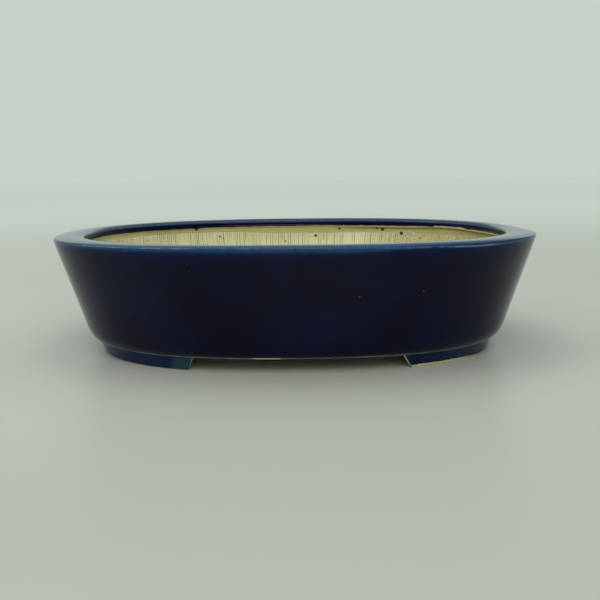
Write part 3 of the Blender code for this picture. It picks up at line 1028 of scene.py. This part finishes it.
def make_foot(name, side):
    """A clay foot: its outer face set back behind the glaze, its edges softened by a sponge."""
    outer = [(CLAY_DEPTH, h) for h in FOOT_HEIGHTS]
    widening = (FOOT_TOP_WIDTH - FOOT_BOTTOM_WIDTH) / FOOT_TOP
    line = outer + [(CLAY_DEPTH + FOOT_BOTTOM_WIDTH + widening * h, h) for h in FOOT_HEIGHTS[::-1]]
    points = foot_points(side, line, [0.0] * len(line), FOOT_STEPS)
    height = points[..., 2]
    front = np.array([k < len(outer) for k in range(len(line))])[:, None]
    # painted shade: the inner face and the cut ends darker ochre, and the outer face darker towards the
    # ground
    face = 0.55 - 0.3 * smooth(height, 1.0 * MM, 5.0 * MM)
    marks = {"fume_and_shade": 0.9 * (1.0 - front) + front * face}
    piece = make_piece(name, strip_mesh(name, points, marks), clay, 40.0)
    soften(piece, 0.45 * MM, 40.0)
    return piece


def make_foot_coat(name, side):
    """The glaze on a foot's outer face. It stops short of the cut end and of the ground, unevenly."""
    bottom = FOOT_GLAZE_BOTTOMS[side]
    margin_top, margin_low = FOOT_GLAZE_MARGINS[side]
    heights = bottom + (FOOT_TOP - bottom) * np.linspace(0.0, 1.0, 14) ** 1.2
    line = [(0.15 * MM * near(h, bottom, 0.12 * MM), h) for h in heights]
    line = line + [(GLAZE, h) for h in heights[::-1]]
    margins = [margin_top + (margin_low - margin_top) * (1.0 - h / FOOT_TOP) ** 2 for _, h in line]
    points = foot_points(side, line, margins, FOOT_COAT_STEPS)
    height = points[..., 2]
    where = np.abs(degrees_round(np.arctan2(points[..., 1], points[..., 0])))
    ends = np.minimum(np.arange(FOOT_COAT_STEPS), np.arange(FOOT_COAT_STEPS)[::-1]) / FOOT_COAT_STEPS
    low_share = 1.0 - smooth(height, bottom, bottom + 2.0 * MM)
    lift = 0.07 * MM * wave(np.radians(where), (9, 21, 37, 64, 113), 30 + side)
    if side > 0:
        lift = lift - 1.0 * MM * (1.0 - smooth(where, 24.0, 38.0))
        lift = lift - 0.30 * MM * (1.0 - smooth(ends, 0.045, 0.06))
        teal = 0.30 * near(where, 36.0, 9.0) + 0.35 * smooth(0.03 - ends, 0.0, 0.02)
    height = np.maximum(height + lift * low_share, FOOT_GLAZE_FLOOR)
    points[..., 2] = height
    if side < 0:
        low = 1.0 - smooth(height, 0.0, 4.0 * MM)
        teal = smooth(0.125 - ends, 0.0, 0.03) * (0.75 + 0.25 * low)
    streaks = wave(np.radians(where) + 0.004 * height / MM, (9, 17, 31, 58), 52 + side)
    streaks = smooth(streaks, 0.2, 1.4) * FOOT_GLAZE_STREAKS[side]
    edge = near(ends, 0.0, 0.004) + near(height, bottom, 0.3 * MM) * 0.5
    marks = {
        "teal": np.clip(teal, 0.0, 1.0),
        "break_and_highlight": np.clip(edge, 0.0, 1.0) * 0.6,
        "thin": streaks * near(height, 0.38 * FOOT_TOP, 1.3 * MM),
        "thick": FOOT_GLAZE_THICKNESS[side],
    }
    return make_piece(name, strip_mesh(name, points, marks), glaze, 60.0)


def make_feet():
    for side, word in ((-1, "left"), (1, "right")):
        hand_over(make_foot("foot_" + word + "_clay", side), "fired_clay", "foot_" + word)
        coat = make_foot_coat("foot_" + word + "_coat", side)
        hand_over(coat, "cobalt_glaze", "glaze_foot_" + word)


# ---- iron spots

SPOT_SEED = 3
SPOTS_PER_AREA = 900.0
SPOT_SMALLEST = 0.18 * MM
SPOT_LARGEST = 0.5 * MM
SPOT_LOWEST = 20.0 * MM
# The large spots at the back: (degrees, height in mm, radius in mm)
LARGE_SPOTS = (
    (120.8, 54.7, 0.70), (119.6, 53.2, 0.40), (81.8, 54.2, 1.15), (72.2, 58.8, 0.95), (58.0, 59.0, 0.85),
    (56.0, 58.4, 1.35), (49.0, 56.0, 1.40), (47.5, 54.2, 0.50), (42.0, 53.2, 0.60), (141.0, 55.5, 0.40),
)


def make_spot_tree():
    """Geometry nodes that scatter small flat blobs over a surface."""
    numbers = {"Per Area": SPOTS_PER_AREA, "Smallest": SPOT_SMALLEST, "Largest": SPOT_LARGEST}
    tree, given, result = new_shaping("scattered_spots", numbers, SPOT_SEED)
    spread = wire(tree, "GeometryNodeDistributePointsOnFaces",
                  {"Mesh": given["Geometry"], "Density": given["Per Area"], "Seed": given["Seed"]})
    blob = wire(tree, "GeometryNodeMeshIcoSphere", {"Radius": 1.0, "Subdivisions": 2})
    flat = wire(tree, "GeometryNodeTransform", {"Geometry": blob.outputs[0], "Scale": (1.0, 1.0, 0.35)})
    limits = {2: given["Smallest"], 3: given["Largest"], "Seed": given["Seed"]}
    size = wire(tree, "FunctionNodeRandomValue", limits, data_type="FLOAT").outputs[1]
    stamped = wire(tree, "GeometryNodeInstanceOnPoints",
                   {"Points": spread.outputs["Points"], "Instance": flat.outputs[0],
                    "Rotation": spread.outputs["Rotation"], "Scale": size})
    end_shaping(tree, stamped.outputs[0], given, result)
    return tree


def inner_points(height, angle):
    """Points on the wall's inner face."""
    ends, sides = (inner_inset(top, height, angle) for top in (INNER_TOP_ENDS, INNER_TOP_SIDES))
    return lay_round(ends, sides, height, angle)


def inner_patch(low, high):
    """An open strip of the wall's inner face between two heights, as ground for the spots."""
    angle = around(PATCH_STEPS)
    points = inner_points(as_rows([low, high], angle), angle)
    return new_mesh("patch", points, grid_of(points)[1][0].tolist(), {})


def make_spots():
    """Iron spots on the inner face: a few large ones at the back and a scatter of small ones."""
    scatter = run_tree(make_spot_tree(), inner_patch(SPOT_LOWEST, SEAM), iron)
    shaped = bmesh.new()
    shaped.from_mesh(scatter)
    for where, height, radius in LARGE_SPOTS:
        spot = Vector(inner_points(np.array([height * MM]), np.array([math.radians(where)]))[0])
        facing = Vector((-spot.x / HALF_LENGTH**2, -spot.y / HALF_WIDTH**2, 0.0)).normalized()
        facing = (facing + Vector((0.0, 0.0, INNER_LEAN))).normalized()
        turn = facing.to_track_quat("Z", "Y").to_matrix().to_4x4()
        stretch = Matrix.Diagonal((1.0, 0.85, 0.3, 1.0))
        place = Matrix.Translation(spot) @ turn @ Matrix.Scale(radius * MM, 4) @ stretch
        bmesh.ops.create_icosphere(shaped, subdivisions=3, radius=1.0, matrix=place)
    shaped.to_mesh(scatter)
    shaped.free()
    hand_over(make_piece("iron_spots", scatter, iron, 45.0), "fired_clay")


# ---- stage, light and camera

GROUND_DROP = 0.1 * MM
GROUND_RADIUS = 6.0
PAPER_SHADES = (0.448, 0.466, 0.436, 1.0), (0.466, 0.484, 0.454, 1.0)
# Painted shadow: the floor's colour towards the camera
FRONT_SHADE_ON_PAPER = (0.395, 0.410, 0.385, 1.0)
# Painted light: the floor's colours far from the pot
FAR_LIGHT_ON_PAPER = (0.805, 0.855, 0.818, 1.0)
FARTHEST_LIGHT_ON_PAPER = (0.870, 0.925, 0.890, 1.0)
PAPER_ROUGHNESS = 0.34
BACKDROP = (0.568, 0.646, 0.580, 1.0)
ROOM = (0.27, 0.29, 0.28, 1.0)
CEILING = (0.86, 0.91, 0.84, 1.0)
LAMP_COLOUR = (1.0, 0.985, 0.94)
# Each lamp's name, place, size and power. All face the pot.
LAMPS = (
    ("top_softbox", (-0.25, 0.15, 1.4), 1.2, 4.5),
    ("left_softbox", (-1.1, -0.5, 0.9), 0.8, 3.0),
    ("front_softbox", (0.15, -1.3, 0.8), 1.0, 9.5),
)
CAMERA_PLACE = (0.0042, -0.490, 0.1021)
CAMERA_HEADING, CAMERA_PITCH, CAMERA_ROLL = 0.20, 9.16, -0.636
CAMERA_LENS = 49.4
CAMERA_SENSOR = 36.0


def make_stage():
    low = (0.0, 0.0, -GROUND_DROP)
    bpy.ops.mesh.primitive_circle_add(vertices=96, radius=GROUND_RADIUS, fill_type="NGON", location=low)
    ground = bpy.context.object
    ground.name = "pale_floor"
    material, tree, shader, place = start_material("pale_paper")
    distance = wire(tree, "ShaderNodeVectorMath", {0: place}, operation="LENGTH").outputs["Value"]
    forward = wire(tree, "ShaderNodeSeparateXYZ", {0: place}).outputs[1]
    colour = layered(
        tree, PAPER_SHADES[0],
        (cloud(tree, place, 9.0, 2.0, 0.4), PAPER_SHADES[1]),
        # painted shadow: the floor darker towards the camera
        (ramp(tree, forward, -0.08, -0.32), FRONT_SHADE_ON_PAPER),
        # painted light: the floor brighter with distance from the pot
        (ramp(tree, distance, 0.2, 1.8), FAR_LIGHT_ON_PAPER),
        (ramp(tree, distance, 1.4, 5.0), FARTHEST_LIGHT_ON_PAPER),
    )
    tree.links.new(colour, shader.inputs["Base Color"])
    shader.inputs["Roughness"].default_value = PAPER_ROUGHNESS
    ground.data.materials.append(material)


def make_light():
    world = bpy.data.worlds.new("soft_room")
    bpy.context.scene.world = world
    world.use_nodes = True
    tree = world.node_tree
    facing = wire(tree, "ShaderNodeTexCoord").outputs["Generated"]
    up = wire(tree, "ShaderNodeSeparateXYZ", {0: facing}).outputs["Z"]
    colour = layered(
        tree, BACKDROP,
        (ramp(tree, up, 0.20, 0.27), ROOM),
        (ramp(tree, up, 0.45, 0.70), CEILING),
    )
    tree.links.new(colour, tree.nodes["Background"].inputs["Color"])
    for name, place, size, power in LAMPS:
        data = bpy.data.lights.new(name, "AREA")
        data.shape = "DISK"
        data.size = size
        data.energy = power
        data.color = LAMP_COLOUR
        lamp = put_down(name, data)
        lamp.location = place
        lamp.rotation_euler = (-Vector(place)).to_track_quat("-Z", "Y").to_euler()


def make_camera():
    data = bpy.data.cameras.new("camera")
    data.sensor_width = CAMERA_SENSOR
    data.lens = CAMERA_LENS
    data.clip_start = 0.01
    data.clip_end = 50.0
    camera = put_down("camera", data)
    heading, pitch, roll = (math.radians(a) for a in (CAMERA_HEADING, CAMERA_PITCH, CAMERA_ROLL))
    tilt = Matrix.Rotation(math.pi / 2.0 - pitch, 4, "X")
    turn = Matrix.Rotation(heading, 4, "Z") @ tilt @ Matrix.Rotation(roll, 4, "Z")
    camera.matrix_world = Matrix.Translation(CAMERA_PLACE) @ turn
    bpy.context.scene.camera = camera
    bpy.context.scene.view_settings.view_transform = "Standard"


make_camera()
make_stage()
make_light()
make_coat()
make_rim()
make_wall()
make_floor()
make_feet()
make_spots()
